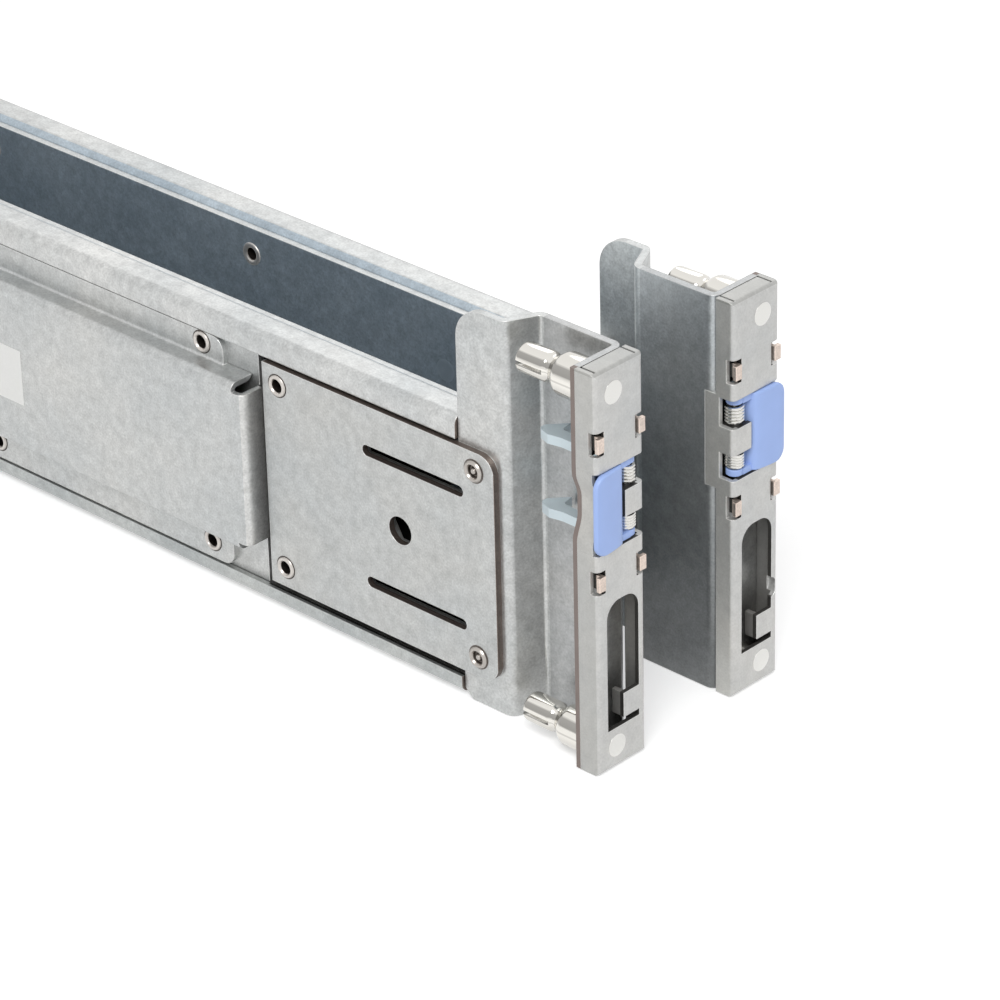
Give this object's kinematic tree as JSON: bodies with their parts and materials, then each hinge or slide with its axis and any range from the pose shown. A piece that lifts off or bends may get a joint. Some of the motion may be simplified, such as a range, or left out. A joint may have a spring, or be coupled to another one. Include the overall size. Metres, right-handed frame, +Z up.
{
  "type": "static server rail kit",
  "caption": "Pair of static rack rails: lipped channel with a telescoping rear section, support ledge, and stud-and-latch ears at both ends.",
  "frame": {"origin": "middle of the kit's footprint, on the plane of the ears' lower edges", "axes": "+X along the rails towards the rack's front, +Y towards the right rail, +Z up"},
  "size_m": [0.6192, 0.054, 0.0864],
  "materials": {
    "zinc_sheet": "galvanised sheet, faint spangle",
    "zinc_cover": "zinc-plated pressing",
    "zinc_hook": "bright blue-white zinc plate",
    "zinc_rivet": "zinc-plated rivet",
    "dark_rivet": "plain steel rivet",
    "nickel_stud": "bright nickel",
    "spring_steel": "bright spring wire",
    "blue_plastic": "moulded periwinkle blue plastic",
    "white_label": "blank white paper label"
  },
  "bodies": {
    "left_rail": {"left_outer_channel": "zinc_sheet", "left_front_ear": "zinc_sheet", "left_front_plate": "zinc_sheet", "left_plate_rivets": "dark_rivet", "left_plate_eyelets": "zinc_rivet", "left_shoulder_rivets": "zinc_rivet", "left_support_ledge": "zinc_sheet", "left_ledge_rivets": "zinc_rivet", "left_front_cover": "zinc_cover", "left_front_studs": "nickel_stud", "left_front_hinge_pin": "spring_steel", "left_front_latch_springs": "spring_steel"},
    "left_rear_section": {"left_rear_section": "zinc_sheet", "left_tray": "zinc_sheet", "left_tray_eyelets": "zinc_rivet", "left_rear_cover": "zinc_cover", "left_rear_studs": "nickel_stud", "left_rear_hinge_pin": "spring_steel", "left_rear_latch_springs": "spring_steel", "left_label": "white_label"},
    "left_front_latch": {"left_front_latch_hook": "zinc_hook", "left_front_release_button": "blue_plastic"},
    "left_rear_latch": {"left_rear_latch_hook": "zinc_hook", "left_rear_release_button": "blue_plastic"},
    "right_rail": {"right_outer_channel": "zinc_sheet", "right_front_ear": "zinc_sheet", "right_front_plate": "zinc_sheet", "right_plate_rivets": "dark_rivet", "right_plate_eyelets": "zinc_rivet", "right_shoulder_rivets": "zinc_rivet", "right_support_ledge": "zinc_sheet", "right_ledge_rivets": "zinc_rivet", "right_front_cover": "zinc_cover", "right_front_studs": "nickel_stud", "right_front_hinge_pin": "spring_steel", "right_front_latch_springs": "spring_steel"},
    "right_rear_section": {"right_rear_section": "zinc_sheet", "right_tray": "zinc_sheet", "right_tray_eyelets": "zinc_rivet", "right_rear_cover": "zinc_cover", "right_rear_studs": "nickel_stud", "right_rear_hinge_pin": "spring_steel", "right_rear_latch_springs": "spring_steel"},
    "right_front_latch": {"right_front_latch_hook": "zinc_hook", "right_front_release_button": "blue_plastic"},
    "right_rear_latch": {"right_rear_latch_hook": "zinc_hook", "right_rear_release_button": "blue_plastic"}
  },
  "joints": [
    {"name": "left_telescope", "type": "slide", "parent": "left_rail", "child": "left_rear_section", "axis": [-1, 0, 0], "range_m": [0, 0.271]},
    {"name": "left_front_release", "type": "hinge", "parent": "left_rail", "child": "left_front_latch", "pos_m": [0.3064, -0.0156, 0.0569], "axis": [0, 0, 1], "range_deg": [0, 12], "stiffness_Nm_per_rad": 0.05, "springref_deg": -11.46},
    {"name": "left_rear_release", "type": "hinge", "parent": "left_rear_section", "child": "left_rear_latch", "pos_m": [-0.3064, -0.0156, 0.0569], "axis": [0, 0, -1], "range_deg": [0, 12], "stiffness_Nm_per_rad": 0.05, "springref_deg": -11.46},
    {"name": "right_telescope", "type": "slide", "parent": "right_rail", "child": "right_rear_section", "axis": [-1, 0, 0], "range_m": [0, 0.271]},
    {"name": "right_front_release", "type": "hinge", "parent": "right_rail", "child": "right_front_latch", "pos_m": [0.3064, 0.0156, 0.0569], "axis": [0, 0, -1], "range_deg": [0, 12], "stiffness_Nm_per_rad": 0.05, "springref_deg": -11.46},
    {"name": "right_rear_release", "type": "hinge", "parent": "right_rear_section", "child": "right_rear_latch", "pos_m": [-0.3064, 0.0156, 0.0569], "axis": [0, 0, 1], "range_deg": [0, 12], "stiffness_Nm_per_rad": 0.05, "springref_deg": -11.46},
    {"name": "rail_spread", "type": "slide", "parent": "left_rail", "child": "right_rail", "axis": [0, 1, 0], "range_m": [0, 0.42]}
  ]
}
